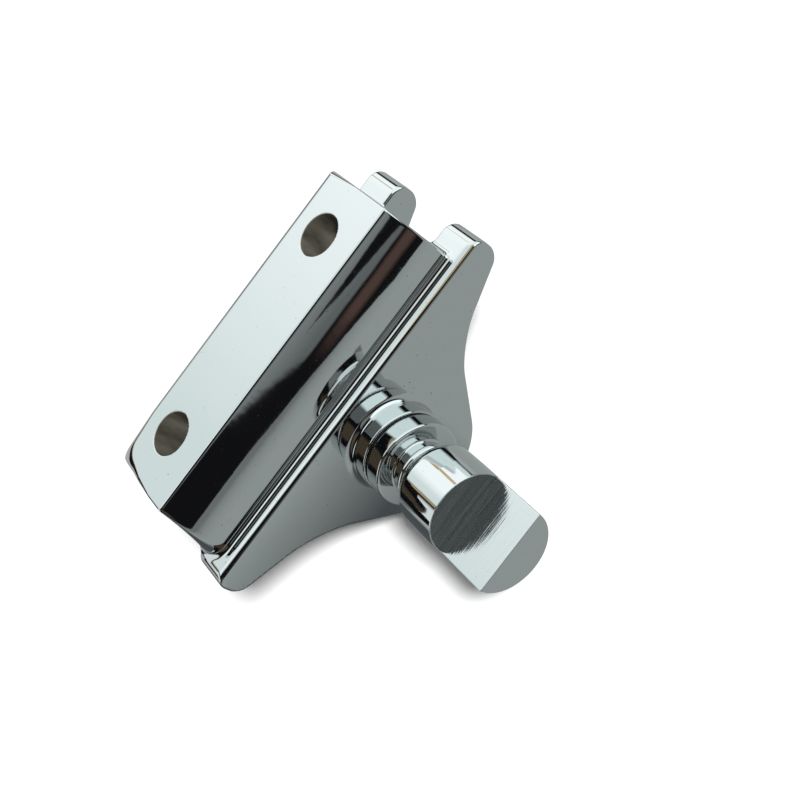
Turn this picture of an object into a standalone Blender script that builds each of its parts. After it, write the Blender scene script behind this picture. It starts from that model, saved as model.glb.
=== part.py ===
"""Saddle latch with a turning nose, for a window or shutter frame.

A die-cast, chrome-plated saddle straddles the edge of a frame member: two cheeks hang from a
bridge block, and two screws go down through the block into the member.  A round spindle stands
out of the front cheek and ends in a half-round nose.  It turns a quarter turn in a bush, against
a stop washer and a wave washer that are held in a counterbore by a circlip.

Row frame: +X along the block, the spindle points along -Y, +Z is the normal of the screw face.
The origin is on the saddle's seat, midway between the two screws.  Lengths below are in mm.
"""
import math

import bmesh
import bpy

MM = 0.001
ROUND_SEGMENTS = 64

# Bridge block
BLOCK_TOP = 10.0
BLOCK_PLUS_X = 21.5
BLOCK_MINUS_X = -21.6
BLOCK_FRONT = -6.7
BLOCK_REAR = 5.8
SIDE_FLARE = 2.95
END_FLARE = 2.1
END_POWER = 1.7
TOP_EDGE_RADIUS = 0.3
REAR_EDGE_RADIUS = 1.1
CORNER_RADIUS = 0.5
FRONT_FOOT_RADIUS = 2.8
WORN_CORNER_RADIUS = 3.2
WORN_CORNER_DEPTH = 1.9

# Screws
SCREW_SPACING = 29.0
SCREW_HOLE_RADIUS = 2.75

# Cheeks
CHEEK_TOP = 0.7
FRONT_FACE = -11.8
FRONT_INNER = -6.0
REAR_INNER = 5.0
REAR_FACE = 10.8
CHEEK_EDGE_RADIUS = 0.5
EAR_END = 25.4
EAR_BOTTOM = -4.0
EAR_CORNER_RADIUS = 1.5
EAR_TOP_RADIUS = 1.9
UNDERSIDE_ANGLE = 21.5
FLANK_ANGLE = 55.4
FLANK_BLEND_RADIUS = 2.5
BULGE_RADIUS = 9.0
BULGE_CENTRE_Z = -12.6

# Spindle axis and what stands on it, front to back
PIN_Z = -8.4
COLLAR_FRONT = -14.6
COLLAR_RADIUS = 5.7
COLLAR_EDGE = 0.25
FLANGE_GAP = 0.08
FLANGE_THICKNESS = 0.24
FLANGE_RADIUS = 5.15
RING_RADIUS = 5.6
RING_FRONT = -17.5
RING_EDGE = 0.3
NECK_RADIUS = 3.4
BEAD_RADIUS = 4.1
BEAD_Y = -19.5
BARREL_START = -20.2
BARREL_RADIUS = 5.3
BARREL_SWELL = 0.1
BARREL_ROUND = 1.9
SHOULDER = -28.0
NOSE_END = -35.8
NOSE_EDGE = 0.35

# Mechanism inside the front cheek
JOURNAL_RADIUS = 2.8
RUNNING_GAP = 0.1
BUSH_WALL = 0.6
COUNTERBORE_RADIUS = 5.5
COUNTERBORE_FLOOR = -10.3
JOURNAL_END = COUNTERBORE_FLOOR + RUNNING_GAP
TENON_RADIUS = 2.6
TENON_FLAT = 2.1
TENON_END = -6.3
STOP_WASHER_Y = (-10.0, -9.2)
STOP_WASHER_RADIUS = 5.2
WAVE_WASHER_Y = (-8.9, -8.3)
WAVE_THICKNESS = 0.3
PLAIN_WASHER_Y = (-8.0, -7.5)
CIRCLIP_Y = (-7.2, -6.75)
CIRCLIP_RADIUS = 4.1
CIRCLIP_GROOVE_RADIUS = 2.0
WASHER_RADIUS = 4.95
WASHER_BORE_GAP = 0.25
KEY_GAP = 0.12
CIRCLIP_GAP = 70.0
STOP_PIN_RADIUS = 0.65
STOP_PIN_ORBIT = 4.65
STOP_PIN_ANGLE = 90.0
STOP_PIN_Y = (-12.6, -9.15)
STOP_SPARE = 1.5
TURN = 90.0

# How far a cutter reaches past the face it cuts through
OVERSHOOT = 1.0


def clear_scene():
    for item in list(bpy.data.objects):
        bpy.data.objects.remove(item, do_unlink=True)


def make_material(name, colour, metallic, roughness):
    material = bpy.data.materials.new(name)
    material.use_nodes = True
    shader = material.node_tree.nodes["Principled BSDF"]
    shader.inputs["Base Color"].default_value = (*colour, 1.0)
    shader.inputs["Metallic"].default_value = metallic
    shader.inputs["Roughness"].default_value = roughness
    return material


def mesh_object(name, points, faces, origin=(0.0, 0.0, 0.0)):
    """Makes an object from points in mm, with its origin at a point in mm."""
    mesh = bpy.data.meshes.new(name)
    mesh.from_pydata([[(p - o) * MM for p, o in zip(point, origin)] for point in points], [], faces)
    work = bmesh.new()
    work.from_mesh(mesh)
    bmesh.ops.recalc_face_normals(work, faces=work.faces)
    work.to_mesh(mesh)
    work.free()
    mesh.shade_smooth()
    mesh.set_sharp_from_angle(angle=math.radians(35))
    result = bpy.data.objects.new(name, mesh)
    result.location = [o * MM for o in origin]
    bpy.context.collection.objects.link(result)
    return result


def hide_helper(item):
    item.hide_render = True
    item.display_type = "WIRE"


def combine(item, helper, operation):
    """Unites a helper with an object, or cuts it out, and hides the helper."""
    hide_helper(helper)
    modifier = item.modifiers.new(operation.title() + " " + helper.name, "BOOLEAN")
    modifier.operation = operation
    modifier.object = helper
    modifier.solver = "EXACT"


def arc(centre, radius, start, end, steps):
    """Points on an arc, angles in degrees, both ends included."""
    angles = [math.radians(start + (end - start) * i / steps) for i in range(steps + 1)]
    return [(centre[0] + radius * math.cos(a), centre[1] + radius * math.sin(a)) for a in angles]


def joined_rings(name, low, high, origin=(0.0, 0.0, 0.0)):
    """A solid between two flat outlines that have the same number of points."""
    count = len(low)
    faces = [tuple(range(count)), tuple(range(2 * count - 1, count - 1, -1))]
    faces += [(i, i + count, (i + 1) % count + count, (i + 1) % count) for i in range(count)]
    return mesh_object(name, low + high, faces, origin)


def prism(name, outline, low_y, high_y, origin=(0.0, 0.0, 0.0)):
    """A solid between two Y planes, with an outline given in X and Z."""
    low, high = ([(x, y, z) for x, z in outline] for y in (low_y, high_y))
    return joined_rings(name, low, high, origin)


def turned(name, profile, wave=None):
    """A solid of revolution about the spindle axis, from (y, radius) pairs.

    A profile that starts and ends with radius 0 is capped there; any other is a closed loop.
    A wave, if given, moves the points along Y by a function of their angle.
    """
    origin = (0.0, 0.0, PIN_Z)
    closed = profile[0][1] > 0.0
    rings = profile if closed else profile[1:-1]
    segments = ROUND_SEGMENTS
    points = []
    for y, radius in rings:
        for i, (x, z) in enumerate(circle((0.0, PIN_Z), radius)):
            shift = wave(2 * math.pi * i / segments) if wave else 0.0
            points.append((x, y + shift, z))
    faces = []
    for ring in range(len(rings) if closed else len(rings) - 1):
        low = ring * segments
        high = (ring + 1) % len(rings) * segments
        for i in range(segments):
            j = (i + 1) % segments
            faces.append((low + i, low + j, high + j, high + i))
    if not closed:
        last = (len(rings) - 1) * segments
        faces.append(tuple(range(segments)))
        faces.append(tuple(range(last + segments - 1, last - 1, -1)))
    return mesh_object(name, points, faces, origin)


def circle(centre, radius, segments=ROUND_SEGMENTS):
    return arc(centre, radius, 0.0, 360.0, segments)[:-1]


def tube_profile(low_y, high_y, inner, outer):
    return [(low_y, inner), (low_y, outer), (high_y, outer), (high_y, inner)]


def upright_cylinder(name, x, y, radius, low_z, high_z):
    """A round cutter along Z."""
    low, high = ([(px, py, z) for px, py in circle((x, y), radius)] for z in (low_z, high_z))
    return joined_rings(name, low, high)


def block_outline(depth):
    """The block's plan at a depth below its top: (x, y, nx, ny) round a rounded rectangle.

    The long sides swell out and stand upright at the foot; the -X end flares.  The rear corner of
    that end is worn round at the top only, and its front corner grows rounder towards the foot.
    """
    share = min(depth / (BLOCK_TOP - CHEEK_TOP), 1.0)
    swell = SIDE_FLARE * (2.0 * share - share ** 2)
    front = BLOCK_FRONT - swell
    rear = BLOCK_REAR + swell
    minus = BLOCK_MINUS_X - END_FLARE * share ** END_POWER
    worn = max(0.0, 1.0 - depth / WORN_CORNER_DEPTH)
    rear_round = CORNER_RADIUS + (WORN_CORNER_RADIUS - CORNER_RADIUS) * worn
    front_round = CORNER_RADIUS + (FRONT_FOOT_RADIUS - CORNER_RADIUS) * share ** 2
    corners = (
        (BLOCK_PLUS_X - CORNER_RADIUS, rear - CORNER_RADIUS, CORNER_RADIUS, 0.0),
        (minus + rear_round, rear - rear_round, rear_round, 90.0),
        (minus + front_round, front + front_round, front_round, 180.0),
        (BLOCK_PLUS_X - CORNER_RADIUS, front + CORNER_RADIUS, CORNER_RADIUS, 270.0),
    )
    steps = 6
    ring = []
    for x, y, radius, start in corners:
        for i in range(steps + 1):
            angle = math.radians(start + 90.0 * i / steps)
            nx, ny = math.cos(angle), math.sin(angle)
            ring.append((x + radius * nx, y + radius * ny, nx, ny))
    return ring


def block_ring(turn, run):
    """One ring of the block: turn goes 0 to 1 round the top edge, run 0 to 1 down the side."""
    quarter = turn * math.pi / 2
    side = BLOCK_TOP - CHEEK_TOP
    ring = []
    for index, (_, _, _, ny) in enumerate(block_outline(0.0)):
        radius = TOP_EDGE_RADIUS + (REAR_EDGE_RADIUS - TOP_EDGE_RADIUS) * max(0.0, ny) ** 2
        depth = radius * (1.0 - math.cos(quarter)) + (side - radius) * run
        x, y, nx, ny = block_outline(depth)[index]
        inset = radius * (1.0 - math.sin(quarter))
        ring.append((x - inset * nx, y - inset * ny, BLOCK_TOP - depth))
    return ring


def make_block():
    """The bridge block: crisp at the top, wider at its foot on the tops of the cheeks."""
    edge_steps = 3
    side_steps = 12
    rings = [block_ring(i / edge_steps, 0.0) for i in range(edge_steps + 1)]
    rings += [block_ring(1.0, i / side_steps) for i in range(1, side_steps + 1)]
    rings.append([(x, y, 0.0) for x, y, _ in rings[-1]])
    count = len(rings[0])
    points = [point for ring in rings for point in ring]
    faces = [tuple(range(count))]
    for ring in range(len(rings) - 1):
        low = ring * count
        high = low + count
        faces += [(low + i, low + (i + 1) % count, high + (i + 1) % count, high + i)
                  for i in range(count)]
    faces.append(tuple(range(len(points) - 1, len(points) - count - 1, -1)))
    return mesh_object("body_casting", points, faces)


def half_cheek():
    """The cheek's outline for x > 0, from the bottom of the bulge up to the ear's top."""
    under = math.radians(UNDERSIDE_ANGLE)
    flank = math.radians(FLANK_ANGLE)
    bulge = arc((0.0, BULGE_CENTRE_Z), BULGE_RADIUS, -90.0, FLANK_ANGLE - 90.0, 10)
    corner = (EAR_END - EAR_CORNER_RADIUS, EAR_BOTTOM + EAR_CORNER_RADIUS)
    ear = arc(corner, EAR_CORNER_RADIUS, UNDERSIDE_ANGLE - 90.0, 0.0, 5)
    # The flank and the underside meet at a point; a hollow blend replaces the corner.
    fx, fz = bulge[-1]
    ux, uz = ear[0]
    reach = ((ux - fx) * math.sin(under) - (uz - fz) * math.cos(under)) / math.sin(under - flank)
    meet = (fx + reach * math.cos(flank), fz + reach * math.sin(flank))
    cut = FLANK_BLEND_RADIUS * math.tan((flank - under) / 2)
    start = (meet[0] - cut * math.cos(flank), meet[1] - cut * math.sin(flank))
    centre = (start[0] + FLANK_BLEND_RADIUS * math.sin(flank),
              start[1] - FLANK_BLEND_RADIUS * math.cos(flank))
    blend = arc(centre, FLANK_BLEND_RADIUS, FLANK_ANGLE + 90.0, UNDERSIDE_ANGLE + 90.0, 5)
    top = arc((EAR_END - EAR_TOP_RADIUS, CHEEK_TOP - EAR_TOP_RADIUS), EAR_TOP_RADIUS, 0.0, 90.0, 3)
    return bulge + blend + ear + top


def make_cheek(name, low_y, high_y):
    right = half_cheek()
    left = [(-x, z) for x, z in reversed(right[1:])]
    cheek = prism(name, right + left, low_y, high_y)
    bevel = cheek.modifiers.new("Soft edges", "BEVEL")
    bevel.width = CHEEK_EDGE_RADIUS * MM
    bevel.segments = 2
    bevel.limit_method = "ANGLE"
    bevel.angle_limit = math.radians(50)
    return cheek


def bush_radius():
    return JOURNAL_RADIUS + RUNNING_GAP + BUSH_WALL


def stop_pin_centre():
    """The stop pin's place in X and Z; its angle is counted from +Z towards -X."""
    angle = math.radians(STOP_PIN_ANGLE)
    return -STOP_PIN_ORBIT * math.sin(angle), PIN_Z + STOP_PIN_ORBIT * math.cos(angle)


def make_body():
    body = make_block()
    combine(body, make_cheek("front_cheek_form", FRONT_FACE, FRONT_INNER), "UNION")
    combine(body, make_cheek("rear_cheek_form", REAR_INNER, REAR_FACE), "UNION")
    root = FRONT_FACE + OVERSHOOT
    collar = [(root, 0.0), (root, COLLAR_RADIUS), (COLLAR_FRONT + COLLAR_EDGE, COLLAR_RADIUS),
              (COLLAR_FRONT, COLLAR_RADIUS - COLLAR_EDGE), (COLLAR_FRONT, 0.0)]
    combine(body, turned("collar_form", collar), "UNION")
    for side in (-1, 1):
        name = "screw_hole_cut_" + ("left" if side < 0 else "right")
        cut = upright_cylinder(name, side * SCREW_SPACING / 2, 0.0, SCREW_HOLE_RADIUS,
                               -OVERSHOOT, BLOCK_TOP + OVERSHOOT)
        combine(body, cut, "DIFFERENCE")
    bore = bush_radius() + RUNNING_GAP
    inner, outer = FRONT_INNER + OVERSHOOT, COLLAR_FRONT - OVERSHOOT
    bores = [(inner, 0.0), (inner, COUNTERBORE_RADIUS), (COUNTERBORE_FLOOR, COUNTERBORE_RADIUS),
             (COUNTERBORE_FLOOR, bore), (outer, bore), (outer, 0.0)]
    combine(body, turned("bearing_cut", bores), "DIFFERENCE")
    hole = circle(stop_pin_centre(), STOP_PIN_RADIUS + RUNNING_GAP, 24)
    cut = prism("stop_pin_cut", hole, STOP_PIN_Y[0] - 0.3, COUNTERBORE_FLOOR + 0.5)
    combine(body, cut, "DIFFERENCE")
    return body


def make_bush():
    """A sleeve in the cheek, with a thin flange between the collar and the spindle's ring."""
    inner = JOURNAL_RADIUS + RUNNING_GAP
    flange_back = COLLAR_FRONT - FLANGE_GAP
    flange_front = flange_back - FLANGE_THICKNESS
    profile = [(COUNTERBORE_FLOOR - 0.2, inner), (COUNTERBORE_FLOOR - 0.2, bush_radius()),
               (flange_back, bush_radius()), (flange_back, FLANGE_RADIUS),
               (flange_front, FLANGE_RADIUS), (flange_front, inner)]
    return turned("pivot_bush", profile)


def rounded_front(front, radius, edge):
    """The (y, radius) points of a rounded front edge on a turned piece."""
    angles = (math.pi / 2, math.pi / 4, 0.0)
    return [(front + edge * (1 - math.cos(a)), radius - edge * (1 - math.sin(a))) for a in angles]


def spindle_profile():
    """The turned spindle as (y, radius), from its inner end out to the nose."""
    chamfer = 0.2
    ring_back = COLLAR_FRONT - 2 * FLANGE_GAP - FLANGE_THICKNESS
    groove_back, groove_front = CIRCLIP_Y[1] + RUNNING_GAP, CIRCLIP_Y[0] - RUNNING_GAP
    tenon = [(TENON_END, 0.0), (TENON_END, TENON_RADIUS - chamfer),
             (TENON_END - chamfer, TENON_RADIUS), (groove_back, TENON_RADIUS),
             (groove_back, CIRCLIP_GROOVE_RADIUS), (groove_front, CIRCLIP_GROOVE_RADIUS),
             (groove_front, TENON_RADIUS), (JOURNAL_END, TENON_RADIUS),
             (JOURNAL_END, JOURNAL_RADIUS), (ring_back, JOURNAL_RADIUS)]
    ring = [(ring_back, RING_RADIUS - RING_EDGE), (ring_back - RING_EDGE, RING_RADIUS)]
    # The ring's front edge is rounded more than its back edge.
    ring += rounded_front(RING_FRONT, RING_RADIUS, 0.5)
    neck = [(RING_FRONT, NECK_RADIUS + 0.4), (RING_FRONT - 0.4, NECK_RADIUS),
            (BEAD_Y + 0.9, NECK_RADIUS), (BEAD_Y + 0.5, BEAD_RADIUS - 0.2),
            (BEAD_Y, BEAD_RADIUS), (BEAD_Y - 0.4, BEAD_RADIUS - 0.3)]
    # The barrel's back edge is a quarter ellipse; its side swells a little towards the nose.
    barrel = []
    for step in range(7):
        angle = math.radians(90.0 * step / 6)
        rise = BARREL_RADIUS - BARREL_SWELL - BEAD_RADIUS
        barrel.append((BARREL_START - BARREL_ROUND * (1 - math.cos(angle)),
                       BEAD_RADIUS + rise * math.sin(angle)))
    barrel.append((BARREL_START - 4.5, BARREL_RADIUS))
    barrel += rounded_front(NOSE_END, BARREL_RADIUS, NOSE_EDGE)
    return tenon + ring + neck + barrel + [(NOSE_END, 0.0)]


def block_cut(name, low, high):
    """A box-shaped cutter between two corners."""
    outline = [(low[0], low[2]), (high[0], low[2]), (high[0], high[2]), (low[0], high[2])]
    return prism(name, outline, low[1], high[1])


def make_spindle():
    spindle = turned("nose_spindle", spindle_profile())
    reach = BARREL_RADIUS + OVERSHOOT
    nose = block_cut("nose_flat_cut", (-reach, NOSE_END - OVERSHOOT, PIN_Z),
                     (reach, SHOULDER, PIN_Z + reach))
    combine(spindle, nose, "DIFFERENCE")
    for side in (-1, 1):
        name = "tenon_flat_cut_" + ("left" if side < 0 else "right")
        near, far = sorted((side * TENON_FLAT, side * reach))
        cut = block_cut(name, (near, JOURNAL_END, PIN_Z - reach),
                        (far, TENON_END + OVERSHOOT, PIN_Z + reach))
        combine(spindle, cut, "DIFFERENCE")
    return spindle


def double_flat(radius, flat):
    """The outline of a shaft with two flats across X."""
    start = math.degrees(math.acos(flat / radius))
    centre = (0.0, PIN_Z)
    return (arc(centre, radius, start, 180.0 - start, 12)
            + arc(centre, radius, 180.0 + start, 360.0 - start, 12))


def make_stop_washer():
    """Keyed to the spindle's two flats, with a slot in its rim that the stop pin sits in."""
    spare = math.degrees(math.asin(STOP_PIN_RADIUS / STOP_PIN_ORBIT)) + STOP_SPARE
    slot_start = STOP_PIN_ANGLE - TURN - spare
    slot_end = STOP_PIN_ANGLE + spare
    slot_radius = STOP_PIN_ORBIT - STOP_PIN_RADIUS - 0.15
    # The stop pin's angles are counted from +Z, 90 degrees on from the X axis that arc uses.
    rim = arc((0.0, PIN_Z), STOP_WASHER_RADIUS, slot_end + 90.0, slot_start + 450.0, 40)
    slot = arc((0.0, PIN_Z), slot_radius, slot_start + 450.0, slot_end + 450.0, 16)
    washer = prism("stop_washer", rim + slot, *STOP_WASHER_Y, origin=(0.0, 0.0, PIN_Z))
    keyhole = double_flat(TENON_RADIUS + KEY_GAP, TENON_FLAT + KEY_GAP)
    cut = prism("keyhole_cut", keyhole, STOP_WASHER_Y[0] - OVERSHOOT, STOP_WASHER_Y[1] + OVERSHOOT)
    combine(washer, cut, "DIFFERENCE")
    return washer


def make_stop_pin():
    x, z = stop_pin_centre()
    return prism("stop_pin", circle((x, z), STOP_PIN_RADIUS, 24), *STOP_PIN_Y)


def make_wave_washer():
    """A thin ring with three crests that presses the spindle's ring against the bush."""
    low, high = WAVE_WASHER_Y
    swing = (high - low - WAVE_THICKNESS) / 2
    middle = (low + high) / 2
    profile = tube_profile(middle - WAVE_THICKNESS / 2, middle + WAVE_THICKNESS / 2,
                           TENON_RADIUS + 2 * WASHER_BORE_GAP, WASHER_RADIUS)
    return turned("wave_washer", profile, wave=lambda angle: swing * math.cos(3 * angle))


def make_plain_washer():
    profile = tube_profile(*PLAIN_WASHER_Y, TENON_RADIUS + WASHER_BORE_GAP, WASHER_RADIUS)
    return turned("plain_washer", profile)


def make_circlip():
    """An open ring in the spindle's groove, its gap to the front of the row."""
    centre = (0.0, PIN_Z)
    inner = CIRCLIP_GROOVE_RADIUS + WASHER_BORE_GAP
    outline = (arc(centre, CIRCLIP_RADIUS, CIRCLIP_GAP / 2, 360.0 - CIRCLIP_GAP / 2, 40)
               + arc(centre, inner, 360.0 - CIRCLIP_GAP / 2, CIRCLIP_GAP / 2, 32))
    return prism("circlip", outline, *CIRCLIP_Y, origin=(0.0, 0.0, PIN_Z))


def main():
    clear_scene()
    chrome = make_material("chrome", (0.62, 0.64, 0.64), 1.0, 0.05)
    polymer = make_material("bush_polymer", (0.03, 0.03, 0.032), 0.0, 0.45)
    spring_steel = make_material("spring_steel", (0.32, 0.31, 0.30), 1.0, 0.35)
    plated_steel = make_material("plated_steel", (0.55, 0.55, 0.53), 1.0, 0.30)
    black_steel = make_material("black_steel", (0.05, 0.05, 0.055), 0.8, 0.50)
    pieces = (
        (make_body(), chrome),
        (make_bush(), polymer),
        (make_stop_pin(), plated_steel),
        (make_spindle(), chrome),
        (make_stop_washer(), plated_steel),
        (make_wave_washer(), spring_steel),
        (make_plain_washer(), plated_steel),
        (make_circlip(), black_steel),
    )
    for piece, material in pieces:
        piece.data.materials.append(material)


main()
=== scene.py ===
"""Chrome saddle latch with a turning nose: the looks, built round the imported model.

The casting and the spindle are made again as smooth solids: each is a field of signed distance
in mm, meshed at a fine pitch, so that every plated edge is softly rounded and the chrome reflects
without facets.  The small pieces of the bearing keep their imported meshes.
"""
import math

import bmesh
import bpy
import numpy as np
from mathutils import Matrix, Vector


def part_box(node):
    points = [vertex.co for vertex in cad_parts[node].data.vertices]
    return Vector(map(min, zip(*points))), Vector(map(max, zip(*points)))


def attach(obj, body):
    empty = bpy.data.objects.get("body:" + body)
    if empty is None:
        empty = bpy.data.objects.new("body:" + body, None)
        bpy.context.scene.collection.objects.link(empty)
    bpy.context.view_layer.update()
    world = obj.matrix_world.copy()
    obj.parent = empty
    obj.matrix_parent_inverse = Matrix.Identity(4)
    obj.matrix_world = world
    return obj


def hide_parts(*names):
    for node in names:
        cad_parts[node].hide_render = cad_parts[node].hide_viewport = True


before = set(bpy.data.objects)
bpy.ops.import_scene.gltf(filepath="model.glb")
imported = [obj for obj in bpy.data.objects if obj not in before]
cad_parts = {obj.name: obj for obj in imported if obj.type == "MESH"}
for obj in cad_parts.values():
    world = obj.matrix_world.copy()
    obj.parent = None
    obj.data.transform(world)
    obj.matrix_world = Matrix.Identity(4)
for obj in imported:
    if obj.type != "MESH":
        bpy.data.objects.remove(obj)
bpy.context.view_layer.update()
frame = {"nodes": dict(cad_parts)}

MM = 0.001

# ---------------------------------------------------------------- sizes read from the frame (mm)


def node_box(name):
    low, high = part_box(name)
    return [v / MM for v in low], [v / MM for v in high]


BODY_LOW, BODY_HIGH = node_box("body_casting")
NOSE_LOW, NOSE_HIGH = node_box("nose_spindle")

TOP = BODY_HIGH[2]
EAR_END = BODY_HIGH[0]
REAR_FACE = BODY_HIGH[1]
COLLAR_FRONT = BODY_LOW[1]
PIN_Z = (NOSE_LOW[2] + NOSE_HIGH[2]) / 2
NOSE_END = NOSE_LOW[1]
TENON_END = NOSE_HIGH[1]
RING_RADIUS = (NOSE_HIGH[0] - NOSE_LOW[0]) / 2

# Bridge block
BLOCK_PLUS_X = 21.5
BLOCK_MINUS_X = -21.6
BLOCK_FRONT = -6.7
BLOCK_REAR = 5.8
SIDE_FLARE = 2.95
END_FLARE = 2.1
END_POWER = 1.7
EDGE_ROUND = 0.28
FRONT_CORNER = (0.4, 2.8)
WORN_CORNER = 3.2
WORN_DEPTH = 1.9
REAR_EDGE = 1.1
WORN_EDGE = 0.9
WORN_REACH = 6.0
PLUS_REAR_CORNER = 0.5
PLUS_FRONT_CORNER = 0.35
FRONT_FILLET = 0.85
REAR_FILLET = 0.5
RIM_START = -10.7
RIM_SLOPE = 0.24
RIM_CURVE = 0.15
RIM_EDGE = 0.12
SCREW_X = 14.5
SCREW_HOLE_RADIUS = 2.75
SCREW_HOLE_EDGE = 0.16

# Cheeks
CHEEK_TOP = 0.7
FRONT_FACE = -11.8
FRONT_INNER = -6.0
REAR_INNER = 5.0
EAR_BOTTOM = -4.0
EAR_CORNER = 1.5
CHEEK_EDGE = 0.45
UNDERSIDE_ANGLE = math.radians(21.5)
FLANK_ANGLE = math.radians(55.4)
FLANK_BLEND = 2.5
BULGE_RADIUS = 9.0
BULGE_Z = -12.6
EAR_TOP_RADIUS = 1.9
COLLAR_RADIUS = 5.7
COLLAR_EDGE = 0.22
COLLAR_FILLET = 0.9

# Bearing
COUNTERBORE_RADIUS = 5.5
COUNTERBORE_FLOOR = -10.3
BORE_RADIUS = 3.6
JOURNAL_RADIUS = 2.8
TENON_RADIUS = 2.6
TENON_FLAT = 2.1
CIRCLIP_GROOVE = (-7.3, -6.65)
CIRCLIP_GROOVE_RADIUS = 2.0

# Spindle, front to back
RING_BACK = -15.0
RING_FRONT = -17.5
NECK_RADIUS = 3.4
BEAD_Y = -19.5
BEAD_RADIUS = 4.1
BARREL_START = -20.2
BARREL_RADIUS = 5.3
SHOULDER = -28.0
RING_EDGE = 0.3
RING_FILLET = 0.35
BEAD_HALF_WIDTH = 0.45
BEAD_EDGE = 0.4
SMALL_FILLET = 0.15
BARREL_SWELL = 0.1
BARREL_SWELL_LENGTH = 4.5
BARREL_ROUND = 1.7
NOSE_EDGE = 0.28
CUT_EDGE = 0.1

# How far one form runs into the next so that they join
OVERLAP = 2.0

# Brushing runs across the spindle, a little off square
BRUSH_TURN = math.radians(-15.0)

# Studio
SOFTBOX = (0.5, 0.62, 0.6)
SIDE_LIGHT = (0.75, -0.35, 0.6)
LEFT_LIGHT = (-0.85, 0.35, 0.42)
OVERHEAD = (-0.05, 0.35, 0.935)
SHELL_RADIUS = 1.4
DARK = (0.008, 0.008, 0.009)
BROWN_HIGH = (0.10, 0.075, 0.05)
BROWN_LOW = (0.10, 0.062, 0.052)
WARM = (0.75, 0.50, 0.20)
GOLD = (0.66, 0.46, 0.23)


# ---------------------------------------------------------------- distance fields, lengths in mm


def both(a, b, radius):
    """Where two solids overlap, with the edge between them rounded."""
    corner = np.hypot(np.maximum(a + radius, 0.0), np.maximum(b + radius, 0.0))
    return np.minimum(-radius, np.maximum(a, b)) + corner


def either(a, b, radius):
    """Two solids joined, with a hollow fillet between them."""
    corner = np.hypot(np.maximum(radius - a, 0.0), np.maximum(radius - b, 0.0))
    return np.maximum(radius, np.minimum(a, b)) - corner


def without(a, b, radius):
    return both(a, -b, radius)


def slab(value, low, high):
    return np.abs(value - (low + high) / 2) - (high - low) / 2


def block_field(x, y, z):
    """The bridge block: its long sides swell out and stand upright at the foot, one end flares.

    The rear corner at that end is worn: wider round seen from above, and softer over the top.
    """
    height = TOP - CHEEK_TOP
    depth = np.clip((TOP - z) / height, 0.0, 1.0)
    swell = SIDE_FLARE * (2.0 * depth - depth ** 2)
    side_slope = 2.0 * SIDE_FLARE * (1.0 - depth) / height
    side_lean = np.sqrt(1.0 + side_slope ** 2)
    end_slope = END_FLARE * END_POWER * depth ** (END_POWER - 1.0) / height
    end_lean = np.sqrt(1.0 + end_slope ** 2)
    front = (BLOCK_FRONT - swell - y) / side_lean
    rear = (y - BLOCK_REAR - swell) / side_lean
    minus = (BLOCK_MINUS_X - END_FLARE * depth ** END_POWER - x) / end_lean
    plus = x - BLOCK_PLUS_X
    worn = np.clip(1.0 - (TOP - z) / WORN_DEPTH, 0.0, 1.0)
    rear_corner = PLUS_REAR_CORNER + (WORN_CORNER - PLUS_REAR_CORNER) * worn
    front_corner = FRONT_CORNER[0] + (FRONT_CORNER[1] - FRONT_CORNER[0]) * depth ** 2
    plan = np.maximum(both(both(rear, minus, rear_corner), plus, PLUS_REAR_CORNER),
                      both(both(front, minus, front_corner), plus, PLUS_FRONT_CORNER))
    toward_rear = np.clip(y / BLOCK_REAR, 0.0, 1.0)
    toward_end = np.clip((-x - SCREW_X) / WORN_REACH, 0.0, 1.0)
    toward_worn = toward_end * np.clip(y / BLOCK_REAR + 0.6, 0.0, 1.0)
    edge = EDGE_ROUND + (REAR_EDGE - EDGE_ROUND) * toward_rear + WORN_EDGE * toward_worn
    return np.maximum(both(plan, z - TOP, edge), -z)


def cheek_outline(x, z):
    """A cheek seen from the front: two ears, a hollow below each, and a bulge round the spindle."""
    side = np.abs(x)
    corner = (EAR_END - EAR_CORNER, EAR_BOTTOM + EAR_CORNER)
    su, cu = math.sin(UNDERSIDE_ANGLE), math.cos(UNDERSIDE_ANGLE)
    under = (side - corner[0]) * su - (z - corner[1]) * cu - EAR_CORNER
    sf, cf = math.sin(FLANK_ANGLE), math.cos(FLANK_ANGLE)
    flank = side * sf - (z - BULGE_Z) * cf
    bulge = np.where(side * cf + (z - BULGE_Z) * sf > 0.0, flank, np.hypot(side, z - BULGE_Z))
    bulge = bulge - BULGE_RADIUS
    lower = either(under, bulge, FLANK_BLEND)
    return both(both(lower, side - EAR_END, EAR_CORNER), z - CHEEK_TOP, EAR_TOP_RADIUS)


def cheek_field(outline, y, low, high):
    return both(outline, slab(y, low, high), CHEEK_EDGE)


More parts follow.
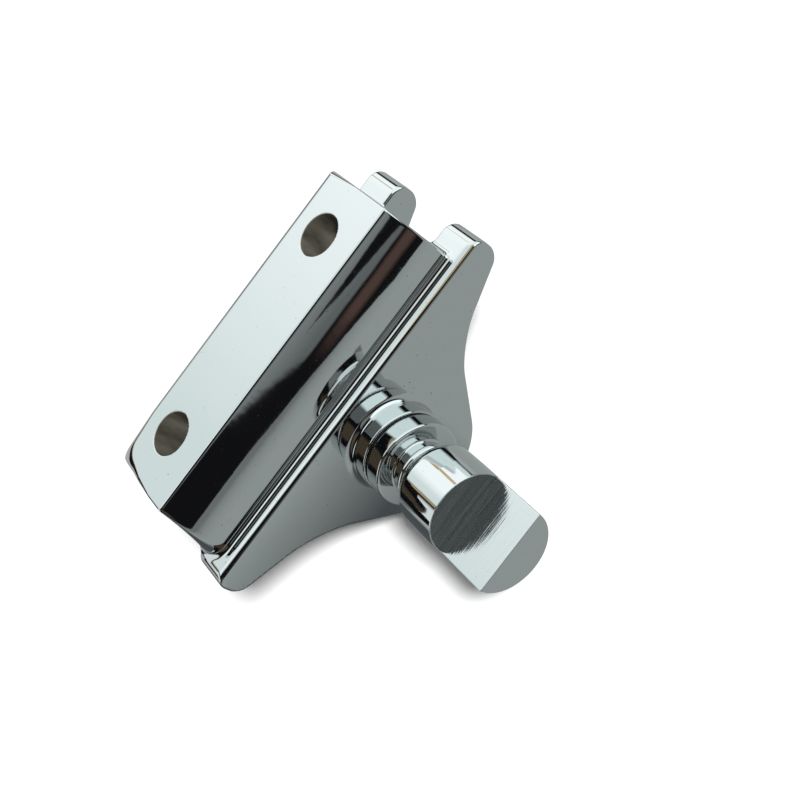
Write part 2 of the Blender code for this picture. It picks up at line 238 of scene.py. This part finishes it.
def body_field(x, y, z):
    outline = cheek_outline(x, z)
    front = cheek_field(outline, y, FRONT_FACE, FRONT_INNER)
    out = np.maximum(RIM_START - y, 0.0)
    crown = z - CHEEK_TOP + RIM_SLOPE * out + RIM_CURVE * out ** 2
    front = both(front, crown, RIM_EDGE)
    rear = cheek_field(outline, y, REAR_INNER, REAR_FACE)
    off_axis = np.hypot(x, z - PIN_Z)
    collar = both(off_axis - COLLAR_RADIUS, slab(y, COLLAR_FRONT, FRONT_FACE + OVERLAP), COLLAR_EDGE)
    solid = either(front, collar, COLLAR_FILLET)
    solid = either(solid, block_field(x, y, z), FRONT_FILLET)
    solid = either(solid, rear, REAR_FILLET)
    channel = np.maximum(slab(y, FRONT_INNER, REAR_INNER), z)
    solid = np.maximum(solid, -channel)
    counterbore = both(off_axis - COUNTERBORE_RADIUS, COUNTERBORE_FLOOR - y, 0.2)
    past_cheek = y - FRONT_INNER - 1.0
    counterbore = np.maximum(counterbore, past_cheek)
    solid = without(solid, counterbore, 0.15)
    bore = np.maximum(off_axis - BORE_RADIUS, past_cheek)
    solid = without(solid, bore, 0.1)
    for centre in (-SCREW_X, SCREW_X):
        solid = without(solid, np.hypot(x - centre, y) - SCREW_HOLE_RADIUS, SCREW_HOLE_EDGE)
    return solid


def disc(along, radius, y, low, high, edge):
    return both(along - radius, slab(y, low, high), edge)


def spindle_field(x, y, z):
    drop = z - PIN_Z
    off_axis = np.hypot(x, drop)
    ring = disc(off_axis, RING_RADIUS, y, RING_FRONT, RING_BACK, RING_EDGE)
    neck = disc(off_axis, NECK_RADIUS, y, BARREL_START - OVERLAP, RING_FRONT + 1.0, 0.1)
    bead = disc(off_axis, BEAD_RADIUS, y, BEAD_Y - BEAD_HALF_WIDTH, BEAD_Y + BEAD_HALF_WIDTH, BEAD_EDGE)
    waist = np.clip((y - BARREL_START) / BARREL_SWELL_LENGTH + 1.0, 0.0, 1.0)
    swell = BARREL_RADIUS - BARREL_SWELL * waist
    barrel = both(off_axis - swell, y - BARREL_START, BARREL_ROUND)
    barrel = both(barrel, NOSE_END - y, NOSE_EDGE)
    solid = either(either(ring, neck, RING_FILLET), bead, SMALL_FILLET)
    solid = either(solid, barrel, SMALL_FILLET)
    cut = np.maximum(-drop, y - SHOULDER)
    solid = without(solid, cut, CUT_EDGE)
    journal = disc(off_axis, JOURNAL_RADIUS, y, RING_BACK - 1.0, COUNTERBORE_FLOOR + 0.1, 0.1)
    tenon = disc(off_axis, TENON_RADIUS, y, RING_BACK, TENON_END, 0.2)
    tenon = both(tenon, np.abs(x) - TENON_FLAT, 0.1)
    groove = np.maximum(slab(y, *CIRCLIP_GROOVE), CIRCLIP_GROOVE_RADIUS - off_axis)
    tenon = without(tenon, groove, 0.05)
    return np.minimum(solid, np.minimum(journal, tenon))


# ---------------------------------------------------------------- meshing a field


def gradient(field, points):
    step = 0.002
    slopes = []
    for axis in range(3):
        shift = np.zeros(3)
        shift[axis] = step
        ahead = field(*(points + shift).T)
        behind = field(*(points - shift).T)
        slopes.append((ahead - behind) / (2 * step))
    return np.stack(slopes, axis=1)


def crossing_points(values, axes, cells):
    """For each cell the surface passes through, the mean of the points where it cuts its edges."""
    total = np.zeros((len(cells), 3))
    hits = np.zeros(len(cells))
    corners = [(a, b, c) for a in (0, 1) for b in (0, 1) for c in (0, 1)]
    for start in corners:
        for axis in range(3):
            if start[axis]:
                continue
            end = list(start)
            end[axis] = 1
            near = cells + np.array(start)
            far = cells + np.array(end)
            a = values[tuple(near.T)]
            b = values[tuple(far.T)]
            cut = (a < 0) != (b < 0)
            share = np.where(cut, a / np.where(cut, a - b, 1.0), 0.0)
            place = np.stack([axes[k][near[:, k]] for k in range(3)], axis=1)
            place[:, axis] += share * (axes[axis][far[:, axis]] - place[:, axis])
            total += place * cut[:, None]
            hits += cut
    return total / hits[:, None]


def grid_lines(low, high, pitch, fine, crisp):
    """Places along one axis: a coarse pitch, and a fine one near the edges listed in crisp."""
    lines = [low - 2.3 * pitch]
    while lines[-1] < high + 2.0 * pitch:
        near = min([abs(lines[-1] + fine - edge) for edge in crisp] + [pitch * 9.0])
        lines.append(lines[-1] + min(pitch, max(fine, 0.35 * (near - 0.35))))
    return np.array(lines)


def surface_net(field, axes):
    """Meshes a field's zero surface; every point is then moved onto it along the slope."""
    grid = np.meshgrid(*axes, indexing="ij", sparse=True)
    values = np.ascontiguousarray(np.broadcast_to(field(*grid), [len(a) for a in axes]))
    inside = values < 0
    n = inside[:-1, :-1, :-1].astype(np.uint8)
    for a in (0, 1):
        for b in (0, 1):
            for c in (0, 1):
                if a + b + c:
                    n = n + inside[a:a + n.shape[0], b:b + n.shape[1], c:c + n.shape[2]]
    mixed = (n > 0) & (n < 8)
    cells = np.argwhere(mixed)
    number = np.full(mixed.shape, -1, dtype=np.int64)
    number[tuple(cells.T)] = np.arange(len(cells))
    points = crossing_points(values, axes, cells)
    reach = 0.12
    for _ in range(4):
        slope = gradient(field, points)
        step = field(*points.T)[:, None] * slope / np.maximum((slope ** 2).sum(1), 0.05)[:, None]
        size = np.linalg.norm(step, axis=1, keepdims=True)
        points = points - step * np.minimum(1.0, reach / np.maximum(size, 1e-9))
    quads = []
    for axis in range(3):
        ahead = np.roll(inside, -1, axis=axis)
        cut = inside != ahead
        index = [slice(1, -1)] * 3
        index[axis] = slice(0, -1)
        where = np.argwhere(cut[tuple(index)])
        for k in range(3):
            if k != axis:
                where[:, k] += 1
        u, v = (axis + 1) % 3, (axis + 2) % 3
        ring = []
        for du, dv in ((-1, -1), (0, -1), (0, 0), (-1, 0)):
            cell = where.copy()
            cell[:, u] += du
            cell[:, v] += dv
            ring.append(number[tuple(cell.T)])
        quad = np.stack(ring, axis=1)
        out = inside[tuple(where.T)]
        quads.append(np.where(out[:, None], quad, quad[:, ::-1]))
    return points, np.concatenate(quads)


def field_object(name, field, axes):
    """A mesh object of a field, with the field's own slope as its normals."""
    points, quads = surface_net(field, axes)
    slope = gradient(field, points)
    normals = slope / np.linalg.norm(slope, axis=1, keepdims=True)
    mesh = bpy.data.meshes.new(name)
    mesh.vertices.add(len(points))
    mesh.vertices.foreach_set("co", (points * MM).astype(np.float32).ravel())
    mesh.loops.add(4 * len(quads))
    mesh.loops.foreach_set("vertex_index", quads.astype(np.int32).ravel())
    mesh.polygons.add(len(quads))
    mesh.polygons.foreach_set("loop_start", np.arange(0, 4 * len(quads), 4, dtype=np.int32))
    mesh.update(calc_edges=True)
    mesh.validate()
    mesh.shade_smooth()
    mesh.normals_split_custom_set_from_vertices(normals.tolist())
    result = bpy.data.objects.new(name, mesh)
    bpy.context.collection.objects.link(result)
    return result


# ---------------------------------------------------------------- materials


class Nodes:
    """Short helpers for wiring one material."""

    def __init__(self, name):
        self.material = bpy.data.materials.new(name)
        self.material.use_nodes = True
        self.tree = self.material.node_tree
        self.shader = self.tree.nodes["Principled BSDF"]
        self.place = self.add("ShaderNodeTexCoord").outputs["Object"]

    def add(self, kind, **values):
        node = self.tree.nodes.new(kind)
        for key, value in values.items():
            setattr(node, key, value)
        return node

    def link(self, source, target):
        self.tree.links.new(source, target)

    def put(self, **values):
        for key, value in values.items():
            self.shader.inputs[key.replace("_", " ")].default_value = value

    def scaled(self, scale, turn=0.0):
        """The object's coordinates turned about Z, then scaled along each axis."""
        mapping = self.add("ShaderNodeMapping")
        mapping.inputs["Scale"].default_value = scale
        mapping.inputs["Rotation"].default_value = (0.0, 0.0, turn)
        self.link(self.place, mapping.inputs["Vector"])
        return mapping.outputs["Vector"]

    def noise(self, scale, detail=2.0, stretch=(1.0, 1.0, 1.0), turn=0.0):
        node = self.add("ShaderNodeTexNoise")
        node.inputs["Scale"].default_value = scale
        node.inputs["Detail"].default_value = detail
        self.link(self.scaled(stretch, turn), node.inputs["Vector"])
        return node.outputs["Fac"]

    def split(self):
        """The X, Y and Z of the object's coordinates, in metres."""
        node = self.add("ShaderNodeSeparateXYZ")
        self.link(self.place, node.inputs[0])
        return node.outputs

    def toward(self, direction):
        """How far a point's direction from the origin agrees with a given one, from -1 to 1."""
        unit = self.add("ShaderNodeVectorMath", operation="NORMALIZE")
        self.link(self.place, unit.inputs[0])
        dot = self.add("ShaderNodeVectorMath", operation="DOT_PRODUCT")
        self.link(unit.outputs["Vector"], dot.inputs[0])
        dot.inputs[1].default_value = Vector(direction).normalized()
        return dot.outputs["Value"]

    def spread(self, value, low, high, out_low=0.0, out_high=1.0):
        node = self.add("ShaderNodeMapRange")
        for key, number in zip(("From Min", "From Max", "To Min", "To Max"),
                               (low, high, out_low, out_high)):
            node.inputs[key].default_value = number
        self.link(value, node.inputs["Value"])
        return node.outputs["Result"]

    def math(self, operation, a, b):
        node = self.add("ShaderNodeMath", operation=operation)
        for value, socket in zip((a, b), node.inputs):
            if isinstance(value, (int, float)):
                socket.default_value = value
            else:
                self.link(value, socket)
        return node.outputs[0]

    def mix(self, share, a, b):
        node = self.add("ShaderNodeMix", data_type="RGBA")
        self.link(share, node.inputs[0])
        for value, socket in ((a, node.inputs[6]), (b, node.inputs[7])):
            if isinstance(value, tuple):
                socket.default_value = (*value, 1.0)
            else:
                self.link(value, socket)
        return node.outputs[2]

    def bump(self, height, distance, strength=1.0, under=None):
        node = self.add("ShaderNodeBump")
        node.inputs["Strength"].default_value = strength
        node.inputs["Distance"].default_value = distance
        self.link(height, node.inputs["Height"])
        if under is not None:
            self.link(under, node.inputs["Normal"])
        return node.outputs["Normal"]


CHROME = (0.63, 0.65, 0.65)
PIT = (0.26, 0.26, 0.27)
STREAK = (0.52, 0.54, 0.54)
SKIN_DARK = (0.055, 0.052, 0.04)
SKIN_LIGHT = (0.17, 0.16, 0.125)


def chrome_base(n):
    """Pits, a faint cloudiness and a cast waviness; returns colour, roughness and normal."""
    pits = n.spread(n.noise(2600.0, 3.0), 0.70, 0.77)
    cloud = n.spread(n.noise(180.0, 3.0), 0.35, 0.75)
    colour = n.mix(pits, CHROME, PIT)
    rough = n.math("ADD", n.math("MULTIPLY", cloud, 0.03), 0.035)
    rough = n.math("ADD", rough, n.math("MULTIPLY", pits, 0.25))
    wave = n.bump(n.noise(95.0, 1.0), 0.00004)
    return colour, rough, n.bump(n.noise(700.0, 1.0), 0.000003, under=wave)


def finish_chrome(n, colour, rough, normal):
    """Wires colour, roughness and normal into a metal shader."""
    n.put(Metallic=1.0)
    n.link(colour, n.shader.inputs["Base Color"])
    n.link(rough, n.shader.inputs["Roughness"])
    n.link(normal, n.shader.inputs["Normal"])
    return n


def casting_material():
    """Polished plate outside; the screw holes and the channel's roof keep a dull, as-cast skin."""
    n = Nodes("chrome_casting_polished")
    colour, rough, normal = chrome_base(n)
    x, y, z = n.split()
    from_hole = n.math("SUBTRACT", n.math("ABSOLUTE", x, 0.0), SCREW_X * MM)
    square = n.math("ADD", n.math("POWER", from_hole, 2.0), n.math("POWER", y, 2.0))
    inner, outer = (SCREW_HOLE_RADIUS + 0.03) * MM, (SCREW_HOLE_RADIUS + 0.12) * MM
    hole = n.spread(square, inner ** 2, outer ** 2, 1.0, 0.0)
    middle = (FRONT_INNER + REAR_INNER) / 2 * MM
    off_middle = n.math("ABSOLUTE", n.math("SUBTRACT", y, middle), 0.0)
    half = (REAR_INNER - FRONT_INNER) / 2 * MM
    channel = n.math("MULTIPLY", n.spread(off_middle, half - 0.0004, half - 0.0001, 1.0, 0.0),
                     n.spread(z, 0.0, 0.0003, 1.0, 0.0))
    dull = n.math("MAXIMUM", hole, channel)
    grain = n.noise(420.0, 4.0, stretch=(1.0, 1.0, 0.35))
    skin = n.mix(n.spread(grain, 0.35, 0.65), SKIN_DARK, SKIN_LIGHT)
    skin_rough = n.spread(grain, 0.3, 0.7, 0.32, 0.5)
    gap = n.math("SUBTRACT", skin_rough, rough)
    rough = n.math("ADD", rough, n.math("MULTIPLY", dull, gap))
    finish_chrome(n, n.mix(dull, colour, skin), rough, normal)
    n.link(n.spread(dull, 0.0, 1.0, 1.0, 0.35), n.shader.inputs["Metallic"])
    return n


def spindle_material():
    """Polished plate; the nose's flat and the shoulder above it are brushed across the spindle."""
    n = Nodes("chrome_spindle_polished")
    colour, rough, normal = chrome_base(n)
    _, y, z = n.split()
    level = n.math("ABSOLUTE", n.math("SUBTRACT", z, PIN_Z * MM), 0.0)
    flat = n.math("MULTIPLY", n.spread(level, 0.00003, 0.00006, 1.0, 0.0),
                  n.spread(y, SHOULDER * MM, (SHOULDER + 0.1) * MM, 1.0, 0.0))
    step = n.math("ABSOLUTE", n.math("SUBTRACT", y, SHOULDER * MM), 0.0)
    wall = n.math("MULTIPLY", n.spread(step, 0.00003, 0.00006, 1.0, 0.0),
                  n.spread(z, PIN_Z * MM, (PIN_Z + 0.05) * MM))
    brushed = n.math("MAXIMUM", flat, wall)
    streaks = n.noise(1.0, 3.0, stretch=(160.0, 5200.0, 5200.0), turn=BRUSH_TURN)
    broad = n.noise(1.0, 2.0, stretch=(60.0, 1300.0, 1300.0), turn=BRUSH_TURN)
    dark = n.math("MULTIPLY", n.spread(broad, 0.42, 0.62), wall)
    colour = n.mix(dark, colour, STREAK)
    scratched = n.spread(streaks, 0.3, 0.7, 0.02, 0.07)
    rough = n.math("ADD", rough, n.math("MULTIPLY", brushed, scratched))
    height = n.math("MULTIPLY", n.math("ADD", streaks, n.math("MULTIPLY", broad, 1.5)), brushed)
    return finish_chrome(n, colour, rough, n.bump(height, 0.000013, under=normal))


def plain_metal(name, colour, rough, scale):
    """Small turned or stamped steel, slightly mottled."""
    n = Nodes(name)
    n.put(Metallic=1.0)
    grain = n.noise(scale, 4.0)
    dark = tuple(0.72 * c for c in colour)
    n.link(n.mix(n.spread(grain, 0.3, 0.7), dark, colour), n.shader.inputs["Base Color"])
    n.link(n.spread(grain, 0.3, 0.7, rough + 0.1, rough), n.shader.inputs["Roughness"])
    n.link(n.bump(n.noise(3000.0, 2.0), 0.00001), n.shader.inputs["Normal"])
    return n


def polymer_material():
    n = Nodes("bush_polymer_moulded")
    grain = n.noise(1800.0, 3.0)
    n.link(n.mix(grain, (0.012, 0.012, 0.013), (0.035, 0.035, 0.037)), n.shader.inputs["Base Color"])
    n.link(n.spread(grain, 0.3, 0.7, 0.38, 0.55), n.shader.inputs["Roughness"])
    n.link(n.bump(grain, 0.00001), n.shader.inputs["Normal"])
    return n


def paint(item, nodes):
    item.data.materials.clear()
    item.data.materials.append(nodes.material)


# ---------------------------------------------------------------- pieces


def make_casting():
    coarse = 1.0
    crisp = ((BLOCK_MINUS_X, BLOCK_PLUS_X, -EAR_END, EAR_END),
             (COLLAR_FRONT, FRONT_FACE, RIM_START, FRONT_INNER, BLOCK_FRONT, REAR_FACE),
             (CHEEK_TOP, TOP))
    axes = [grid_lines(BODY_LOW[k], BODY_HIGH[k], coarse * pitch, coarse * fine, edges)
            for k, (pitch, fine, edges) in enumerate(zip((0.4, 0.3, 0.3), (0.2, 0.1, 0.1), crisp))]
    casting = field_object("casting_surface", body_field, axes)
    paint(casting, casting_material())
    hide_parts("body_casting")
    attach(casting, "saddle")
    return casting


def make_spindle():
    coarse = 1.0
    crisp = ((-RING_RADIUS, RING_RADIUS),
             (NOSE_END, SHOULDER, BARREL_START, BEAD_Y, RING_FRONT, RING_BACK),
             (PIN_Z,))
    axes = [grid_lines(NOSE_LOW[k], NOSE_HIGH[k], coarse * 0.16, coarse * 0.07, crisp[k])
            for k in range(3)]
    spindle = field_object("spindle_surface", spindle_field, axes)
    paint(spindle, spindle_material())
    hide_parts("nose_spindle")
    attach(spindle, "nose")
    return spindle


def dress_small_pieces():
    nodes = frame["nodes"]
    paint(nodes["pivot_bush"], polymer_material())
    plated = plain_metal("plated_steel_dull", (0.52, 0.52, 0.50), 0.28, 900.0)
    for name in ("stop_pin", "stop_washer", "plain_washer"):
        paint(nodes[name], plated)
    paint(nodes["wave_washer"], plain_metal("spring_steel_oiled", (0.30, 0.29, 0.28), 0.32, 700.0))
    paint(nodes["circlip"], plain_metal("black_steel_phosphated", (0.05, 0.05, 0.055), 0.5, 800.0))


# ---------------------------------------------------------------- studio


def make_camera():
    data = bpy.data.cameras.new("camera")
    camera = bpy.data.objects.new("camera", data)
    bpy.context.collection.objects.link(camera)
    data.lens = 61.2
    data.shift_x = -0.0068
    data.shift_y = -0.0095
    data.clip_start = 0.005
    data.clip_end = 10.0
    place = Vector((18.9, -123.65, 108.85)) * MM
    target = Vector((5.85, -12.0, -4.87)) * MM
    roll = math.radians(57.5)
    aim = (target - place).to_track_quat("-Z", "Y").to_matrix()
    camera.matrix_world = Matrix.Translation(place) @ (aim @ Matrix.Rotation(-roll, 3, "Z")).to_4x4()
    bpy.context.scene.camera = camera
    return camera


def glow(name):
    """A material that only shines; its shader is an Emission node."""
    n = Nodes(name)
    n.tree.nodes.remove(n.shader)
    n.shader = n.add("ShaderNodeEmission")
    n.link(n.shader.outputs[0], n.tree.nodes["Material Output"].inputs["Surface"])
    n.material.cycles.emission_sampling = "NONE"
    return n


def reflected_only(item, nodes):
    """A stage piece that nothing but the plating's reflections can see."""
    item.data.materials.append(nodes.material)
    item.visible_camera = False
    item.visible_diffuse = False
    item.visible_shadow = False
    item.visible_transmission = False


def shell_glow():
    """A dark room: soft lights behind, overhead, right and left, a dim slanting ceiling in front.

    The lights have warm edges, and the room is brown low on the right and high on the left.
    """
    n = glow("studio_shell_glow")
    unit = n.add("ShaderNodeVectorMath", operation="NORMALIZE")
    n.link(n.place, unit.inputs[0])
    parts = n.add("ShaderNodeSeparateXYZ")
    n.link(unit.outputs["Vector"], parts.inputs[0])
    x, y, z = parts.outputs
    front = n.spread(y, -0.35, -0.5)

    def area(*shares):
        whole = front
        for share in shares:
            whole = n.math("MULTIPLY", whole, share)
        return whole

    def sloping(slope):
        return n.math("ADD", z, n.math("MULTIPLY", x, slope))

    brown_left = area(n.spread(x, -0.34, -0.42), n.spread(z, 0.15, 0.25))
    colour = n.mix(brown_left, DARK, BROWN_HIGH)
    brown_right = area(n.spread(x, -0.10, -0.05), n.spread(z, -0.09, -0.02),
                       n.spread(z, 0.06, 0.11, 1.0, 0.0))
    colour = n.mix(brown_right, colour, BROWN_LOW)
    tone = n.mix(n.spread(z, 0.2, 0.4), (0.155, 0.170, 0.168), (0.26, 0.285, 0.28))
    tone = n.mix(n.spread(z, 0.45, 0.6), tone, (0.18, 0.20, 0.20))
    ceiling = area(n.spread(sloping(3.73), -0.29, -0.22), n.spread(z, 0.12, 0.15),
                   n.spread(z, 0.75, 0.85, 1.0, 0.0))
    colour = n.mix(ceiling, colour, tone)
    wedge = area(n.spread(sloping(1.04), 0.218, 0.226),
                 n.spread(sloping(-0.23), 0.323, 0.335, 1.0, 0.0))
    colour = n.mix(wedge, colour, DARK)
    soft = n.toward(SOFTBOX)
    warm = n.math("MULTIPLY", n.spread(soft, 0.515, 0.53), n.spread(soft, 0.545, 0.56, 1.0, 0.0))
    colour = n.mix(warm, colour, WARM)
    side = n.spread(n.toward(SIDE_LIGHT), 0.78, 0.83)
    colour = n.mix(side, colour, (1.35, 1.55, 1.55))
    left = n.spread(n.toward(LEFT_LIGHT), 0.89, 0.92)
    colour = n.mix(left, colour, (0.95, 1.02, 1.02))
    overhead = n.spread(n.toward(OVERHEAD), 0.90, 0.93)
    colour = n.mix(overhead, colour, (1.25, 1.32, 1.32))
    bright = n.mix(n.spread(soft, 0.74, 0.90), (0.95, 1.06, 1.06), (1.36, 1.43, 1.43))
    lit = n.math("MULTIPLY", n.spread(soft, 0.55, 0.60), n.spread(z, 0.13, 0.22))
    colour = n.mix(lit, colour, bright)
    unsteady = n.spread(n.noise(14.0, 4.0), 0.0, 1.0, -0.12, 0.12)
    ragged = n.math("ADD", n.math("DIVIDE", x, z), unsteady)
    strip = n.math("MULTIPLY", n.spread(ragged, 0.74, 0.80), n.spread(ragged, 0.90, 0.96, 1.0, 0.0))
    strip = n.math("MULTIPLY", strip, n.spread(y, 0.55, 0.65))
    colour = n.mix(strip, colour, GOLD)
    n.link(colour, n.shader.inputs["Color"])
    return n


def sphere(name, radius):
    mesh = bpy.data.meshes.new(name)
    work = bmesh.new()
    bmesh.ops.create_icosphere(work, subdivisions=4, radius=radius)
    work.to_mesh(mesh)
    work.free()
    result = bpy.data.objects.new(name, mesh)
    bpy.context.collection.objects.link(result)
    return result


def make_studio_shell():
    """The room that the chrome mirrors, as a sphere of light and dark round the object."""
    reflected_only(sphere("studio_shell", SHELL_RADIUS), shell_glow())


def make_backdrop():
    """Pale surroundings for the eye, past the edge of the floor; the plating does not see them."""
    backdrop = sphere("backdrop", SHELL_RADIUS + 0.04)
    n = glow("backdrop_glow")
    n.put(Color=(1.0, 1.0, 1.0, 1.0))
    backdrop.data.materials.append(n.material)
    backdrop.visible_glossy = False
    backdrop.visible_diffuse = False
    backdrop.visible_shadow = False


def mirrored_floor_glow():
    """A glowing stand-in for the grey paper as the plating sees it, with its light and shade painted
    in: painted shade far in front, painted shadow where the object's left side shades it, painted light
    behind.
    """
    n = glow("mirrored_floor_glow")
    x, y, _ = n.split()
    # painted shadow: the object's left side shading the paper near the cheek
    near = n.spread(y, -0.0345, -0.018)
    left = n.spread(x, 0.005, -0.005)
    shade = n.math("MULTIPLY", near, left)
    length = n.add("ShaderNodeVectorMath", operation="LENGTH")
    n.link(n.place, length.inputs[0])
    # painted shade: the paper dimmer further from the object
    far = n.spread(length.outputs["Value"], 0.08, 0.30)
    colour = n.mix(far, (0.39, 0.43, 0.42), (0.20, 0.215, 0.215))
    colour = n.mix(shade, colour, (0.085, 0.095, 0.10))
    # painted light: the paper brighter behind the object
    behind = n.spread(y, 0.02, 0.06)
    colour = n.mix(behind, colour, (0.50, 0.52, 0.52))
    n.link(colour, n.shader.inputs["Color"])
    return n


def flat_sheet(name, corners, level):
    mesh = bpy.data.meshes.new(name)
    mesh.from_pydata([(x, y, level) for x, y in corners], [], [tuple(range(len(corners)))])
    sheet = bpy.data.objects.new(name, mesh)
    bpy.context.collection.objects.link(sheet)
    return sheet


def make_floor():
    """White paper for the eye, and just above it a dimmer glowing sheet that the chrome mirrors, with
    the paper's light and shade painted into its glow.

    The mirrored sheet stops at a slanting edge in front, past which the room is dark.
    """
    level = BODY_LOW[2] * MM - 0.0001
    reach = 1.5
    square = [(-reach, -reach), (reach, -reach), (reach, reach), (-reach, reach)]
    floor = flat_sheet("floor", square, level)
    floor.visible_glossy = False
    n = Nodes("floor_paper")
    n.put(Base_Color=(0.9, 0.9, 0.9, 1.0), Roughness=0.9)
    floor.data.materials.append(n.material)
    edge = [(-0.30, -1.5), (0.013, -0.134), (0.5, -0.08), (0.9, 0.2), (0.6, 0.9), (-0.6, 0.9),
            (-0.9, -0.2), (-0.8, -1.3)]
    reflected_only(flat_sheet("mirrored_floor", edge, level + 0.00005), mirrored_floor_glow())


def make_lights():
    world = bpy.data.worlds.new("studio")
    bpy.context.scene.world = world
    world.use_nodes = True
    back = world.node_tree.nodes["Background"]
    back.inputs["Color"].default_value = (1.0, 1.0, 1.0, 1.0)
    back.inputs["Strength"].default_value = 0.30
    lamp = bpy.data.lights.new("key", "SUN")
    lamp.angle = 0.17
    lamp.energy = 4.6
    key = bpy.data.objects.new("key", lamp)
    bpy.context.collection.objects.link(key)
    direction = Vector((0.25, -0.63, 0.74)).normalized()
    key.matrix_world = (Matrix.Translation(direction * 0.6)
                        @ direction.to_track_quat("Z", "Y").to_matrix().to_4x4())
    key.visible_glossy = False


def main():
    make_camera()
    make_casting()
    make_spindle()
    dress_small_pieces()
    make_floor()
    make_studio_shell()
    make_backdrop()
    make_lights()
    scene = bpy.context.scene
    scene.view_settings.view_transform = "Standard"


main()
